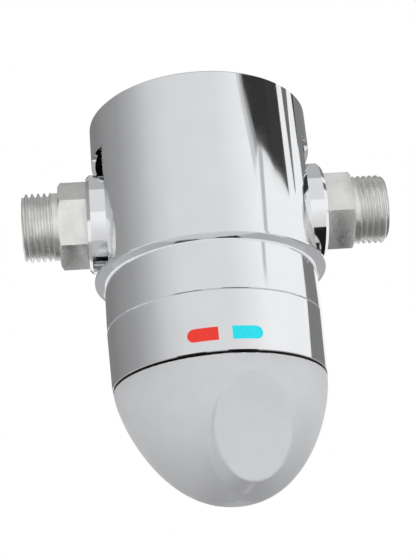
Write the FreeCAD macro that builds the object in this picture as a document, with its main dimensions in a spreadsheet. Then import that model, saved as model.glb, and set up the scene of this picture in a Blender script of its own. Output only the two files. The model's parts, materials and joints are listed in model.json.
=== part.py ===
import FreeCAD
import Part
import math
import os
import re
import Sketcher

# Thermostatic mixing valve, millimetres.
# Origin: centre of the outlet port, in the top face of the casting.
# +Z points up, out of the outlet. Hot water comes in along -X, cold along +X,
# and the temperature knob hangs below. -Y is the front.
#
# Heights inside the pieces are measured from the inlets' common axis:
# a "rise" is above it, a "drop" is below it. Lengths inside the inlets are
# measured outwards from the valve's vertical axis.

doc = FreeCAD.newDocument("mixing_valve")
sizes = doc.addObject("Spreadsheet::Sheet", "sizes")

VALUES = {
    # Outside of the valve
    "inlet_drop": 32.3,          # outlet face down to the inlets' axis
    "sleeve_r": 33.9,
    "sleeve_wall": 1.2,
    "sleeve_fit": 0.1,
    "sleeve_edge": 0.6,          # chamfer of the sleeve's top edge
    "slot_rise": 19.3,
    "slot_gap": 0.2,             # between a boss and each side of its slot
    "boss_r": 15.1,
    "boss_reach": 35.8,
    "boss_edge": 1.0,
    "barrel_r": 25.0,
    "top_flange": 5.0,
    "bead_drop": 19.3,           # inlets' axis down to the sleeve's lower edge
    "bead_r": 34.6,
    "bead_height": 0.6,
    "step_r": 33.9,              # foot of the cone under the bead
    "step_height": 0.8,
    "collar_r": 31.8,
    "collar_drop": 35.65,
    "seam_edge": 0.25,           # chamfer on both sides of the collar's seam
    # Index ring and its two colour fields
    "spigot_r": 28.5,
    "spigot_height": 14.3,
    "ring_fit": 0.05,
    "ring_low_r": 31.2,
    "ring_height": 17.55,
    "ring_lip_r": 26.0,
    "mark_inset": 0.5,
    "mark_height": 3.7,
    "mark_start": 1.9,           # from the front centre line to a mark's square end
    "mark_length": 8.4,
    "mark_lift": 5.0,            # ring's lower end up to the marks' centre line
    # Outlet and the water ways in the casting
    "outlet_r": 9.32,
    "outlet_depth": 14.0,
    "chamber_r": 12.0,
    "cartridge_r": 17.0,
    "cartridge_rise": 10.0,
    "cartridge_drop": 26.0,
    "gallery_r": 19.0,
    "gallery_near": 2.5,
    "gallery_far": 6.5,
    "way_r": 7.0,
    "way_start": 20.5,
    "way_width": 10.0,
    "nut_r": 20.5,
    "nut_drop": 38.0,
    "mouth_r": 22.5,
    # Sleeve's O-ring
    "sleeve_groove_depth": 1.5,
    "sleeve_groove_height": 2.0,
    "sleeve_groove_lift": 1.5,
    # Cartridge
    "cartridge_fit": 0.05,
    "cartridge_end_gap": 0.1,
    "flange_height": 3.0,
    "guide_r": 14.0,
    "seat_r": 11.5,
    "seat_opening": 1.5,
    "cap_r": 14.6,
    "cap_skirt": 1.4,
    "key_chamber_r": 10.0,
    "key_chamber_rise": 2.0,     # seat's recess below the cold seat
    "spindle_floor": 26.5,
    "neck_r": 8.0,
    "neck_step_lift": 1.4,       # knob's top up to the step under the stop ring
    "neck_end_r": 7.0,
    "neck_reach": 2.1,           # cartridge's neck into the knob
    "stop_end_gap": 0.1,
    "port_width": 8.0,
    "seal_depth": 1.3,
    "seal_height": 1.8,
    "seal_high": 8.3,
    "seal_low": 10.4,
    "nut_height": 7.0,
    "nut_hole_r": 9.0,
    "nut_slot": 4.0,
    "nut_slot_depth": 2.0,
    # Mixing shuttle and wax capsule
    "shuttle_half": 5.3,
    "shuttle_inner_r": 11.6,
    "shuttle_skirt_r": 12.8,
    "shuttle_land": 2.0,
    "web_half": 1.5,
    "web_hole_r": 1.6,
    "web_hole_pitch_r": 7.9,
    "shuttle_seal_half": 0.9,
    "shuttle_seal_depth": 1.2,
    "running_fit": 0.05,
    "capsule_r": 7.0,
    "capsule_rise": 15.0,
    "capsule_flange_r": 6.2,
    "capsule_flange": 1.5,
    "capsule_neck_r": 4.0,
    "stem_r": 3.2,
    "stem_drop": 10.5,
    "piston_r": 1.6,
    "piston_top_drop": 3.0,
    "piston_headroom": 0.8,
    # Adjusting nut and overload spring
    "key_r": 11.2,
    "key_fit": 0.1,
    "key_width": 4.0,
    "lift_nut_r": 9.9,
    "lift_nut_drop": 23.5,
    "lift_nut_top": 11.5,
    "lift_nut_floor": 19.5,
    "lift_thread_r": 4.0,
    "cup_r": 7.5,
    "pad_drop": 15.0,
    "pad_height": 1.5,
    "clip_height": 1.0,
    "clip_reach": 0.7,
    "clip_gap": 2.0,
    "overload_wire": 1.2,
    "overload_r": 5.9,
    "overload_turns": 3.0,
    "return_wire": 1.4,
    "return_r": 10.3,
    "return_turns": 6.0,
    # Spindle
    "spindle_r": 5.0,
    "spindle_flange_r": 8.0,
    "spindle_flange": 1.55,
    "end_play": 0.05,
    "spindle_top_drop": 19.8,
    "spindle_seal_depth": 1.2,
    "spindle_seal_height": 1.8,
    "spindle_seal_high": 34.0,
    "spindle_seal_low": 38.0,
    "circlip_height": 0.8,
    "circlip_depth": 0.9,
    "circlip_reach": 1.8,
    "spindle_end_r": 4.8,
    "spindle_reach": 15.1,       # spindle into the knob
    "spindle_flat": 4.0,           # axis to the flat under the grub screw
    # Limit stop
    "stop_ring_r": 11.0,
    "stop_lug_r": 17.0,
    "stop_lug_angle": 62.0,
    # Knob
    "knob_gap": 0.7,             # index ring's lower end down to the knob
    "knob_r": 30.9,
    "knob_height": 35.3,
    "knob_lean": 7.0,            # how far the dome's tip leans towards the thumb pad
    "knob_azimuth": 12.0,        # from the front centre line towards the cold side
    "pad_tilt": 15.0,
    "pad_half_width": 10.8,
    "pad_half_height": 14.6,
    "pad_axis_drop": 11.7,
    "pad_reach": 28.1,
    "pad_flare": 22.0,
    "pad_rim": 0.4,
    "pad_dish": 1.0,
    "knob_hollow_r": 24.0,
    "knob_hollow_depth": 8.0,
    "knob_hollow_low_r": 14.0,
    "knob_hollow_floor": 19.0,
    "hub_r": 10.0,
    "hub_drop": 3.3,
    "hub_bore_floor": 15.7,
    "stop_rib_r": 12.5,
    "stop_rib_width": 5.0,
    "stop_rib_drop": 0.3,
    "stop_rib_depth": 5.7,
    "screw_r": 2.5,
    "screw_length": 5.0,
    "screw_drop_on_knob": 10.0,
    "screw_socket_r": 1.25,
    "screw_socket_depth": 2.2,
    # Inlet nipples
    "hex_flats": 23.2,
    "hex_length": 8.6,
    "hex_edge": 1.3,
    "relief_r": 9.6,
    "relief_length": 1.9,
    "thread_r": 10.48,
    "thread_length": 8.9,
    "thread_edge": 0.9,
    "tail_r": 10.25,
    "tail_length": 9.0,
    "tail_fit": 0.05,
    "inlet_seal_r": 11.4,
    "inlet_seal_depth": 1.5,
    "pocket_r": 8.4,
    "pocket_beyond": 6.2,        # boss face out to the pocket's end
    "throat_r": 6.0,
    "throat_length": 2.0,
    "inlet_mouth_r": 8.0,
    "hot_hex_angle": 24.0,
    "cold_hex_angle": 50.0,
    # Strainers
    "strainer_rim": 1.0,
    "strainer_height": 1.2,
    "strainer_plate": 0.5,
    "strainer_hole_r": 0.5,
    "strainer_pitch": 1.7,
    # Check valves
    "check_fit": 0.05,
    "cage_wall": 1.35,
    "cage_seat": 1.5,
    "cage_seat_r": 5.0,
    "guide_height": 2.0,
    "guide_hole_r": 1.5,
    "guide_hole_pitch_r": 4.8,
    "poppet_r": 6.0,
    "poppet_height": 1.5,
    "seat_gap": 0.05,           # shut poppet to its seat
    "poppet_stem_r": 1.5,
    "check_clip_height": 1.0,
    "check_clip_inner_r": 6.6,
    "check_clip_depth": 0.45,
    "check_clip_inset": 8.2,     # boss face in to the clip's inner side
    "check_wire": 0.6,
    "check_spring_r": 2.4,
    "check_turns": 4.0,
}

for row, (alias, value) in enumerate(VALUES.items(), start=1):
    sizes.set("A%d" % row, alias.replace("_", " "))
    sizes.set("B%d" % row, str(value))
    sizes.setAlias("B%d" % row, alias)
doc.recompute()


def bound(expression):
    """An expression in the sheet's aliases, as FreeCAD reads it."""
    def named(word):
        return "sizes." + word[0] if word[0] in VALUES else word[0]

    return re.sub(r"[a-z][a-z_]*", named, expression)


def bind(thing, **properties):
    """Tie properties to the sheet; a double underscore stands for a dot."""
    for name, expression in properties.items():
        thing.setExpression(name.replace("__", "."), bound(expression))


def outlined(body, plane, corners):
    """A closed sketch of straight lines on one of a body's own planes, each corner tied to the sheet."""
    sketch = body.newObject("Sketcher::SketchObject", body.Name + "_outline")
    origin_plane = next(feature for feature in body.Origin.OriginFeatures if feature.Role == plane)
    sketch.AttachmentSupport = [(origin_plane, "")]
    sketch.MapMode = "FlatFace"
    count = len(corners)
    away = 100
    start = []
    for i in range(count):
        turn = math.tau * i / count
        start.append(FreeCAD.Vector(away + away / 2 * math.cos(turn), away + away / 2 * math.sin(turn)))
    sketch.addGeometry([Part.LineSegment(start[i], start[(i + 1) % count]) for i in range(count)])
    sketch.addConstraint([Sketcher.Constraint("Coincident", i, 2, (i + 1) % count, 1) for i in range(count)])
    for i, corner in enumerate(corners):
        for direction, expression in zip(("DistanceX", "DistanceY"), corner):
            index = sketch.addConstraint(Sketcher.Constraint(direction, -1, 1, i, 1, 1.0))
            sketch.setExpression("Constraints[%d]" % index, bound(expression))
    return sketch


def turned(label, corners):
    """A piece turned about Z from (radius, height) corners."""
    body = doc.addObject("PartDesign::Body", label)
    sketch = outlined(body, "XZ_Plane", corners)
    turn = body.newObject("PartDesign::Revolution", label + "_turn")
    turn.Profile = sketch
    turn.ReferenceAxis = (sketch, ["V_Axis"])
    turn.Angle = 360
    return body


def slab(label, corners, height, plane="XY_Plane"):
    """A straight-sided piece padded from a sketch on one origin plane."""
    body = doc.addObject("PartDesign::Body", label)
    pad = body.newObject("PartDesign::Pad", label + "_pad")
    pad.Profile = outlined(body, plane, corners)
    bind(pad, Length=height)
    return body


def rectangle(half_length, half_width):
    """Corners of a rectangle centred on the origin."""
    return [("-(%s)" % half_length, "-(%s)" % half_width), (half_length, "-(%s)" % half_width),
            (half_length, half_width), ("-(%s)" % half_length, half_width)]


def rod(label, radius, height):
    """A plain cylinder standing on the origin."""
    cylinder = doc.addObject("Part::Cylinder", label)
    bind(cylinder, Radius=radius, Height=height)
    return cylinder


def joined(label, *shapes):
    fused = doc.addObject("Part::MultiFuse", label)
    fused.Shapes = list(shapes)
    return fused


def cut(label, base, *tools):
    """The base less every tool."""
    result = doc.addObject("Part::Cut", label)
    result.Base = base
    result.Tool = tools[0] if len(tools) == 1 else joined(label + "_tools", *tools)
    return result


def shared(label, first, second):
    """What two shapes have in common."""
    result = doc.addObject("Part::MultiCommon", label)
    result.Shapes = [first, second]
    return result


def shaped(label, shape):
    """A piece whose form is neither turned nor padded."""
    feature = doc.addObject("Part::Feature", label)
    feature.Shape = shape
    return feature


X, Y, Z = FreeCAD.Vector(1, 0, 0), FreeCAD.Vector(0, 1, 0), FreeCAD.Vector(0, 0, 1)
UPRIGHT = FreeCAD.Rotation()


def put(thing, height="0", rotation=UPRIGHT, right="0", back="0"):
    """Turn a thing and move its origin to (right, back, height)."""
    thing.Placement = FreeCAD.Placement(FreeCAD.Vector(), rotation)
    bind(thing, Placement__Base__x=right, Placement__Base__y=back, Placement__Base__z=height)
    return thing


pieces = []


def keep(thing, rotation=UPRIGHT):
    """Set a finished piece at the inlets' level and list it for export."""
    put(thing, "-inlet_drop", rotation)
    pieces.append(thing)
    return thing


def coil(label, wire, radius, turns, low, high):
    """A round-wire spring between two heights, in short mitred lengths."""
    rise = high - low - wire
    per_turn = 12
    count = int(per_turn * turns)
    stations = []
    for i in range(count + 1):
        along = math.tau * i / per_turn
        stations.append(FreeCAD.Vector(radius * math.cos(along), radius * math.sin(along),
                                       low + wire / 2 + rise * i / count))
    section = Part.Wire(Part.makeCircle(wire / 2, stations[0], stations[1] - stations[0]))
    right_corner = 1
    return shaped(label, Part.makePolygon(stations).makePipeShell([section], True, False, right_corner))


# ---------------------------------------------------------------- casting and covers

SLEEVE_BORE = "(sleeve_r - sleeve_wall)"
FLANGE_R = "(sleeve_r - sleeve_wall - sleeve_fit)"
GROOVE_R = "(sleeve_r - sleeve_wall - sleeve_fit - sleeve_groove_depth)"
GROOVE_LOW = "(inlet_drop - sleeve_groove_lift - sleeve_groove_height)"
GROOVE_HIGH = "(inlet_drop - sleeve_groove_lift)"
STEP_TOP = "-(bead_drop + bead_height)"
STEP_LOW = "-(bead_drop + bead_height + step_height)"
SPIGOT_END = "-(collar_drop + spigot_height)"
TAIL_BORE = "(tail_r + tail_fit)"
TAIL_END = "(boss_reach - tail_length)"
OUTLET_FLOOR = "(inlet_drop - outlet_depth)"

TO_COLD = FreeCAD.Rotation(Y, 90)
TO_HOT = FreeCAD.Rotation(Y, -90)
SIDES = {"hot": TO_HOT, "cold": TO_COLD}


def valve_body():
    barrel = turned("casting_barrel", [
        ("0", SPIGOT_END), ("spigot_r", SPIGOT_END), ("spigot_r", "-collar_drop"),
        ("collar_r - seam_edge", "-collar_drop"), ("collar_r", "-collar_drop + seam_edge"),
        ("collar_r", STEP_LOW), ("step_r", STEP_TOP),
        ("bead_r", STEP_TOP), ("bead_r", "-bead_drop"), ("barrel_r", "-bead_drop"),
        ("barrel_r", "inlet_drop - top_flange"), (FLANGE_R, "inlet_drop - top_flange"),
        (FLANGE_R, GROOVE_LOW), (GROOVE_R, GROOVE_LOW), (GROOVE_R, GROOVE_HIGH), (FLANGE_R, GROOVE_HIGH),
        (FLANGE_R, "inlet_drop"), ("0", "inlet_drop"),
    ])
    core = turned("casting_core", [
        ("0", SPIGOT_END), ("mouth_r", SPIGOT_END), ("mouth_r", "-nut_drop"),
        ("nut_r", "-nut_drop"), ("nut_r", "-cartridge_drop"), ("cartridge_r", "-cartridge_drop"),
        ("cartridge_r", "-gallery_far"), ("gallery_r", "-gallery_far"),
        ("gallery_r", "-gallery_near"), ("cartridge_r", "-gallery_near"),
        ("cartridge_r", "gallery_near"), ("gallery_r", "gallery_near"),
        ("gallery_r", "gallery_far"), ("cartridge_r", "gallery_far"),
        ("cartridge_r", "cartridge_rise"), ("chamber_r", "cartridge_rise"),
        ("chamber_r", OUTLET_FLOOR), ("outlet_r", OUTLET_FLOOR),
        ("outlet_r", "inlet_drop"), ("0", "inlet_drop"),
    ])
    bosses, ways = [], []
    for side, rotation in SIDES.items():
        boss = turned(side + "_boss", [
            ("0", "0"), ("boss_r", "0"), ("boss_r", "boss_reach - boss_edge"),
            ("boss_r - boss_edge", "boss_reach"), ("0", "boss_reach"),
        ])
        way = turned(side + "_way", [
            ("0", "way_start"), ("way_r", "way_start"), ("way_r", TAIL_END),
            (TAIL_BORE, TAIL_END), (TAIL_BORE, "boss_reach - inlet_seal_depth"),
            ("inlet_seal_r", "boss_reach - inlet_seal_depth"), ("inlet_seal_r", "boss_reach"),
            ("0", "boss_reach"),
        ])
        bosses.append(put(boss, rotation=rotation))
        ways.append(put(way, rotation=rotation))
    # Each way opens into its own gallery only: hot into the upper one, cold into the lower one.
    link_corners = [("cartridge_r + cartridge_fit", "-way_width / 2"), ("way_start + 1", "-way_width / 2"),
                    ("way_start + 1", "way_width / 2"), ("cartridge_r + cartridge_fit", "way_width / 2")]
    hot_link = slab("hot_link", link_corners, "gallery_far - gallery_near")
    cold_link = slab("cold_link", link_corners, "gallery_far - gallery_near")
    put(hot_link, "gallery_near", FreeCAD.Rotation(Z, 180))
    put(cold_link, "-gallery_far")
    return cut("valve_body", joined("casting_outside", barrel, *bosses), core, *ways, hot_link, cold_link)


def cover_sleeve():
    tube = turned("sleeve_tube", [
        (SLEEVE_BORE, "-bead_drop"), ("sleeve_r", "-bead_drop"), ("sleeve_r", "inlet_drop - sleeve_edge"),
        ("sleeve_r - sleeve_edge", "inlet_drop"), (SLEEVE_BORE, "inlet_drop"),
    ])
    slots = slab("sleeve_slots", rectangle("sleeve_r + 1", "boss_r + slot_gap"), "bead_drop + slot_rise")
    put(slots, "-bead_drop")
    return cut("cover_sleeve", tube, slots)


def sleeve_o_ring():
    return turned("sleeve_o_ring", [
        (GROOVE_R, GROOVE_LOW), (SLEEVE_BORE, GROOVE_LOW),
        (SLEEVE_BORE, GROOVE_HIGH), (GROOVE_R, GROOVE_HIGH),
    ])


# ---------------------------------------------------------------- index ring

RING_BORE = "(spigot_r + ring_fit)"
RING_LOW = "-(collar_drop + ring_height)"
MARK_LEVEL = "(mark_lift - collar_drop - ring_height)"


def colour_field(label, sign):
    """A field with a square end towards the front centre line and a round far end, flush with the ring."""
    skin = turned(label + "_skin", [
        ("ring_low_r - mark_inset", RING_LOW), ("ring_low_r", RING_LOW),
        ("collar_r", "-collar_drop"), ("collar_r - mark_inset", "-collar_drop"),
    ])
    near = "%s * mark_start" % sign
    far = "%s * (mark_start + mark_length - mark_height / 2)" % sign
    bar = slab(label + "_bar", [
        (near, "-mark_height / 2"), (far, "-mark_height / 2"),
        (far, "mark_height / 2"), (near, "mark_height / 2"),
    ], "collar_r + 1", "XZ_Plane")
    end = rod(label + "_end", "mark_height / 2", "collar_r + 1")
    put(bar, MARK_LEVEL)
    put(end, MARK_LEVEL, FreeCAD.Rotation(X, 90), right=far)
    return shared(label, skin, joined(label + "_outline", bar, end))


def index_ring():
    ring = turned("ring_blank", [
        ("ring_lip_r", RING_LOW), ("ring_low_r - seam_edge", RING_LOW),
        ("ring_low_r", RING_LOW + " + seam_edge"),
        ("collar_r", "-collar_drop - seam_edge"), ("collar_r - seam_edge", "-collar_drop"),
        (RING_BORE, "-collar_drop"), (RING_BORE, SPIGOT_END), ("ring_lip_r", SPIGOT_END),
    ])
    return cut("index_ring", ring, colour_field("hot_pocket", "-1"), colour_field("cold_pocket", "1"))


# ---------------------------------------------------------------- cartridge

BODY_R = "(cartridge_r - cartridge_fit)"
SEAL_BED = "(cartridge_r - cartridge_fit - seal_depth)"
CARTRIDGE_TOP = "(cartridge_rise - cartridge_end_gap)"
KNOB_DROP = "(collar_drop + ring_height + knob_gap)"
NECK_STEP = "(%s - neck_step_lift)" % KNOB_DROP
NECK_END = "(%s + neck_reach)" % KNOB_DROP
SPINDLE_END = "(%s + spindle_reach)" % KNOB_DROP
HOT_SEAT = "(shuttle_half + seat_opening)"
CAP_LEDGE = "(shuttle_half + seat_opening + cap_skirt)"
CAP_BORE = "(cap_r + cartridge_fit)"
CHAMBER_TOP = "-(shuttle_half + seat_opening + key_chamber_rise)"
FLANGE_LOW = "-(cartridge_drop + flange_height)"
NECK_BORE = "(spindle_r + running_fit)"
SEALS = {"upper": "seal_high", "middle": "0", "lower": "-seal_low"}


def seal_groove(level):
    """Corners of one O-ring groove in the cartridge's outside, from its lower edge up."""
    low = "(%s) - seal_height / 2" % level
    high = "(%s) + seal_height / 2" % level
    return [(BODY_R, low), (SEAL_BED, low), (SEAL_BED, high), (BODY_R, high)]


def cartridge_body():
    shell = turned("cartridge_shell", [
        (NECK_BORE, "-" + NECK_END), ("neck_end_r", "-" + NECK_END), ("neck_end_r", "-" + NECK_STEP),
        ("neck_r", "-" + NECK_STEP), ("neck_r", FLANGE_LOW), ("nut_r - tail_fit", FLANGE_LOW),
        ("nut_r - tail_fit", "-cartridge_drop"), (BODY_R, "-cartridge_drop"),
        *seal_groove(SEALS["lower"]), *seal_groove(SEALS["middle"]), *seal_groove(SEALS["upper"]),
        (BODY_R, CARTRIDGE_TOP), (CAP_BORE, CARTRIDGE_TOP), (CAP_BORE, CAP_LEDGE),
        ("guide_r", CAP_LEDGE), ("guide_r", "-" + HOT_SEAT), ("seat_r", "-" + HOT_SEAT),
        ("seat_r", CHAMBER_TOP), ("key_chamber_r", CHAMBER_TOP),
        ("key_chamber_r", "-spindle_floor"), (NECK_BORE, "-spindle_floor"),
    ])
    cutters = []
    for gallery, low in (("hot", "gallery_near"), ("cold", "-gallery_far")):
        for turn in (0, 60, 120):
            ports = slab("%s_ports_%d" % (gallery, turn), rectangle("cartridge_r", "port_width / 2"),
                         "gallery_far - gallery_near")
            cutters.append(put(ports, low, FreeCAD.Rotation(Z, turn)))
    keyways = slab("keyways", rectangle("key_r + key_fit", "key_width / 2 + key_fit"),
                   "spindle_floor + " + CHAMBER_TOP)
    cutters.append(put(keyways, "-spindle_floor"))
    return cut("cartridge_body", shell, *cutters)


def cartridge_cap():
    return turned("cartridge_cap", [
        ("seat_r", HOT_SEAT), ("guide_r - cartridge_fit", HOT_SEAT), ("guide_r - cartridge_fit", CAP_LEDGE),
        ("cap_r", CAP_LEDGE), ("cap_r", CARTRIDGE_TOP), ("seat_r", CARTRIDGE_TOP),
    ])


def cartridge_o_ring(name, level):
    low = "(%s) - seal_height / 2" % level
    high = "(%s) + seal_height / 2" % level
    return turned("cartridge_o_ring_" + name, [
        (SEAL_BED, low), ("cartridge_r", low), ("cartridge_r", high), (SEAL_BED, high),
    ])


def cartridge_nut():
    low = FLANGE_LOW + " - nut_height"
    blank = turned("cartridge_nut_blank", [
        ("nut_hole_r", low), ("nut_r - tail_fit", low),
        ("nut_r - tail_fit", FLANGE_LOW), ("nut_hole_r", FLANGE_LOW),
    ])
    slots = []
    for turn in (0, 90):
        slot = slab("nut_slot_%d" % turn, rectangle("nut_r + 1", "nut_slot / 2"), "nut_slot_depth")
        slots.append(put(slot, low, FreeCAD.Rotation(Z, turn)))
    return cut("cartridge_nut", blank, *slots)


def limit_stop_ring():
    height = "%s - stop_end_gap - %s" % (NECK_END, NECK_STEP)
    low = "-(%s - stop_end_gap)" % NECK_END
    ring = rod("stop_ring_blank", "stop_ring_r", height)
    lug = rod("stop_lug", "stop_lug_r", height)
    bind(lug, Angle="stop_lug_angle")
    bore = rod("stop_ring_bore", "neck_end_r + cartridge_fit", height)
    put(ring, low)
    put(lug, low, FreeCAD.Rotation(Z, 90 - sizes.stop_lug_angle / 2))
    put(bore, low)
    return cut("limit_stop_ring", joined("stop_ring_and_lug", ring, lug), bore)


# ---------------------------------------------------------------- shuttle and wax capsule

LAND_R = "(guide_r - 2 * running_fit)"
SHUTTLE_BED = "(guide_r - 2 * running_fit - shuttle_seal_depth)"
HUB_BORE = "(capsule_neck_r + cartridge_fit)"


def mixing_shuttle():
    ring = turned("shuttle_ring", [
        (HUB_BORE, "-web_half"), ("shuttle_inner_r", "-web_half"), ("shuttle_inner_r", "-shuttle_half"),
        ("shuttle_skirt_r", "-shuttle_half"), ("shuttle_skirt_r", "-shuttle_land"), (LAND_R, "-shuttle_land"),
        (LAND_R, "-shuttle_seal_half"), (SHUTTLE_BED, "-shuttle_seal_half"),
        (SHUTTLE_BED, "shuttle_seal_half"), (LAND_R, "shuttle_seal_half"),
        (LAND_R, "shuttle_land"), ("shuttle_skirt_r", "shuttle_land"),
        ("shuttle_skirt_r", "shuttle_half"), ("shuttle_inner_r", "shuttle_half"),
        ("shuttle_inner_r", "web_half"), (HUB_BORE, "web_half"),
    ])
    holes = ring_of_holes("shuttle_hole", 6, "web_hole_r", "web_hole_pitch_r", "2 * web_half", "-web_half")
    return cut("mixing_shuttle", ring, *holes)


def ring_of_holes(label, count, radius, pitch_radius, height, low):
    """Upright drills, evenly spaced on a circle."""
    drills = []
    for i in range(count):
        angle = 360 / count * i
        drill = rod("%s_%d" % (label, i + 1), radius, height)
        put(drill, low, right="%s * cos(%g)" % (pitch_radius, angle),
            back="%s * sin(%g)" % (pitch_radius, angle))
        drills.append(drill)
    return drills


def shuttle_o_ring():
    edge = "guide_r - running_fit"
    return turned("shuttle_o_ring", [
        (SHUTTLE_BED, "-shuttle_seal_half"), (edge, "-shuttle_seal_half"),
        (edge, "shuttle_seal_half"), (SHUTTLE_BED, "shuttle_seal_half"),
    ])


def wax_capsule():
    bore = "piston_r + running_fit"
    bore_end = "piston_headroom - piston_top_drop"
    flange_top = "web_half + capsule_flange"
    return turned("wax_capsule", [
        (bore, "-stem_drop"), ("stem_r", "-stem_drop"),
        ("stem_r", "-web_half"), ("capsule_neck_r", "-web_half"),
        ("capsule_neck_r", "web_half"), ("capsule_flange_r", "web_half"), ("capsule_flange_r", flange_top),
        ("capsule_r", flange_top), ("capsule_r", "capsule_rise - capsule_r / 3"),
        ("capsule_r * 2 / 3", "capsule_rise"), ("0", "capsule_rise"), ("0", bore_end), (bore, bore_end),
    ])


def capsule_piston():
    return turned("capsule_piston", [
        ("0", "pad_height - pad_drop"), ("piston_r", "pad_height - pad_drop"),
        ("piston_r", "-piston_top_drop"), ("0", "-piston_top_drop"),
    ])


def return_spring():
    return coil("return_spring", sizes.return_wire, sizes.return_r, sizes.return_turns,
                sizes.web_half, sizes.inlet_drop - sizes.outlet_depth)


# ---------------------------------------------------------------- adjusting nut

CLIP_LOW = "(pad_height - pad_drop)"
CLIP_HIGH = "(pad_height - pad_drop + clip_height)"


def adjusting_nut():
    barrel = turned("lift_nut_barrel", [
        ("0", "-lift_nut_drop"), ("lift_nut_r", "-lift_nut_drop"),
        ("lift_nut_r", "-lift_nut_top"), ("0", "-lift_nut_top"),
    ])
    keys = slab("lift_nut_keys", rectangle("key_r", "key_width / 2"), "lift_nut_drop - lift_nut_top")
    put(keys, "-lift_nut_drop")
    bore = turned("lift_nut_bore", [
        ("0", "-lift_nut_drop"), ("lift_thread_r", "-lift_nut_drop"), ("lift_thread_r", "-lift_nut_floor"),
        ("cup_r", "-lift_nut_floor"), ("cup_r", CLIP_LOW), ("cup_r + clip_reach", CLIP_LOW),
        ("cup_r + clip_reach", CLIP_HIGH), ("cup_r", CLIP_HIGH),
        ("cup_r", "-lift_nut_top"), ("0", "-lift_nut_top"),
    ])
    return cut("adjusting_nut", joined("lift_nut_blank", barrel, keys), bore)


def overload_spring():
    return coil("overload_spring", sizes.overload_wire, sizes.overload_r, sizes.overload_turns,
                -sizes.lift_nut_floor, -sizes.pad_drop)


def piston_pad():
    return turned("piston_pad", [
        ("0", "-pad_drop"), ("cup_r - cartridge_fit", "-pad_drop"),
        ("cup_r - cartridge_fit", CLIP_LOW), ("0", CLIP_LOW),
    ])


def split_ring(label, inner, outer, low, high):
    """A snap ring with its gap towards +X."""
    ring = turned(label + "_blank", [(inner, low), (outer, low), (outer, high), (inner, high)])
    beyond = outer + " + 1"
    gap = slab(label + "_gap", [
        ("0", "-clip_gap / 2"), (beyond, "-clip_gap / 2"), (beyond, "clip_gap / 2"), ("0", "clip_gap / 2"),
    ], "%s - (%s)" % (high, low))
    put(gap, low)
    return cut(label, ring, gap)


# ---------------------------------------------------------------- spindle

CIRCLIP_HIGH = "-(%s + end_play)" % NECK_END
CIRCLIP_LOW = "-(%s + end_play + circlip_height)" % NECK_END
FLANGE_REST = "(end_play - spindle_floor)"
SPINDLE_BED = "(spindle_r - spindle_seal_depth)"
SPINDLE_SEALS = {"upper": "-spindle_seal_high", "lower": "-spindle_seal_low"}


def spindle_groove(level):
    low = "(%s) - spindle_seal_height / 2" % level
    high = "(%s) + spindle_seal_height / 2" % level
    return [("spindle_r", low), (SPINDLE_BED, low), (SPINDLE_BED, high), ("spindle_r", high)]


def spindle():
    shaft = turned("spindle_shaft", [
        ("0", "-" + SPINDLE_END), ("spindle_end_r", "-" + SPINDLE_END), ("spindle_end_r", CIRCLIP_LOW),
        ("spindle_r - circlip_depth", CIRCLIP_LOW), ("spindle_r - circlip_depth", CIRCLIP_HIGH),
        ("spindle_r", CIRCLIP_HIGH), *spindle_groove(SPINDLE_SEALS["lower"]),
        *spindle_groove(SPINDLE_SEALS["upper"]),
        ("spindle_r", FLANGE_REST), ("spindle_flange_r", FLANGE_REST),
        ("spindle_flange_r", FLANGE_REST + " + spindle_flange"),
        ("lift_thread_r - running_fit", FLANGE_REST + " + spindle_flange"),
        ("lift_thread_r - running_fit", "-spindle_top_drop"), ("0", "-spindle_top_drop"),
    ])
    # The flat that the grub screw bears on, at the back of the knob.
    flat = slab("spindle_flat", [("-spindle_r", "spindle_flat"), ("spindle_r", "spindle_flat"),
                                 ("spindle_r", "spindle_r"), ("-spindle_r", "spindle_r")],
                "%s + %s" % (SPINDLE_END, CIRCLIP_LOW))
    put(flat, "-" + SPINDLE_END)
    return cut("spindle", shaft, flat)


def spindle_o_ring(name, level):
    low = "(%s) - spindle_seal_height / 2" % level
    high = "(%s) + spindle_seal_height / 2" % level
    return turned("spindle_o_ring_" + name, [
        (SPINDLE_BED, low), ("spindle_r", low), ("spindle_r", high), (SPINDLE_BED, high),
    ])


# ---------------------------------------------------------------- knob

KNOB_TOP = "-" + KNOB_DROP
DOME_DEPTH_POWER = 1.43          # how soon the dome draws in below its rim
DOME_RADIUS_POWER = 2.19         # how blunt its tip is


def dome_solid():
    """A dome hanging from the knob's rim, its tip leaning towards the thumb pad (-Y)."""
    radius, height = sizes.knob_r, sizes.knob_height
    steps = 14
    outline = []
    for i in range(steps + 1):
        depth = math.sin(math.pi / 2 * i / steps)
        width = (1 - depth ** DOME_DEPTH_POWER) ** (1 / DOME_RADIUS_POWER) if i < steps else 0
        outline.append(FreeCAD.Vector(radius * width, 0, -height * depth))
    curve = Part.BSplineCurve()
    curve.interpolate(Points=outline, InitialTangent=-Z, FinalTangent=-X)
    centre = FreeCAD.Vector()
    axis, rim = Part.makeLine(outline[-1], centre), Part.makeLine(centre, outline[0])
    dome = Part.Face(Part.Wire([curve.toShape(), axis, rim])).revolve(centre, Z, 360)
    lean = FreeCAD.Matrix()
    lean.A23 = sizes.knob_lean / height
    return dome.transformGeometry(lean)


def oval(grow, reach):
    """An upright oval across the thumb pad's axis, as a wire."""
    ring = Part.Ellipse(FreeCAD.Vector(), sizes.pad_half_height + grow, sizes.pad_half_width + grow).toShape()
    ring.rotate(FreeCAD.Vector(), Z, 90)
    ring.translate(Z * reach)
    return Part.Wire(ring)


def thumb_pad_solid():
    """An oval block standing out of the dome, wider towards its foot."""
    root = sizes.pad_reach / 2
    flare = (sizes.pad_reach - root) * math.tan(math.radians(sizes.pad_flare))
    return Part.makeLoft([oval(flare, root), oval(0, sizes.pad_reach)], True, True)


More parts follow.
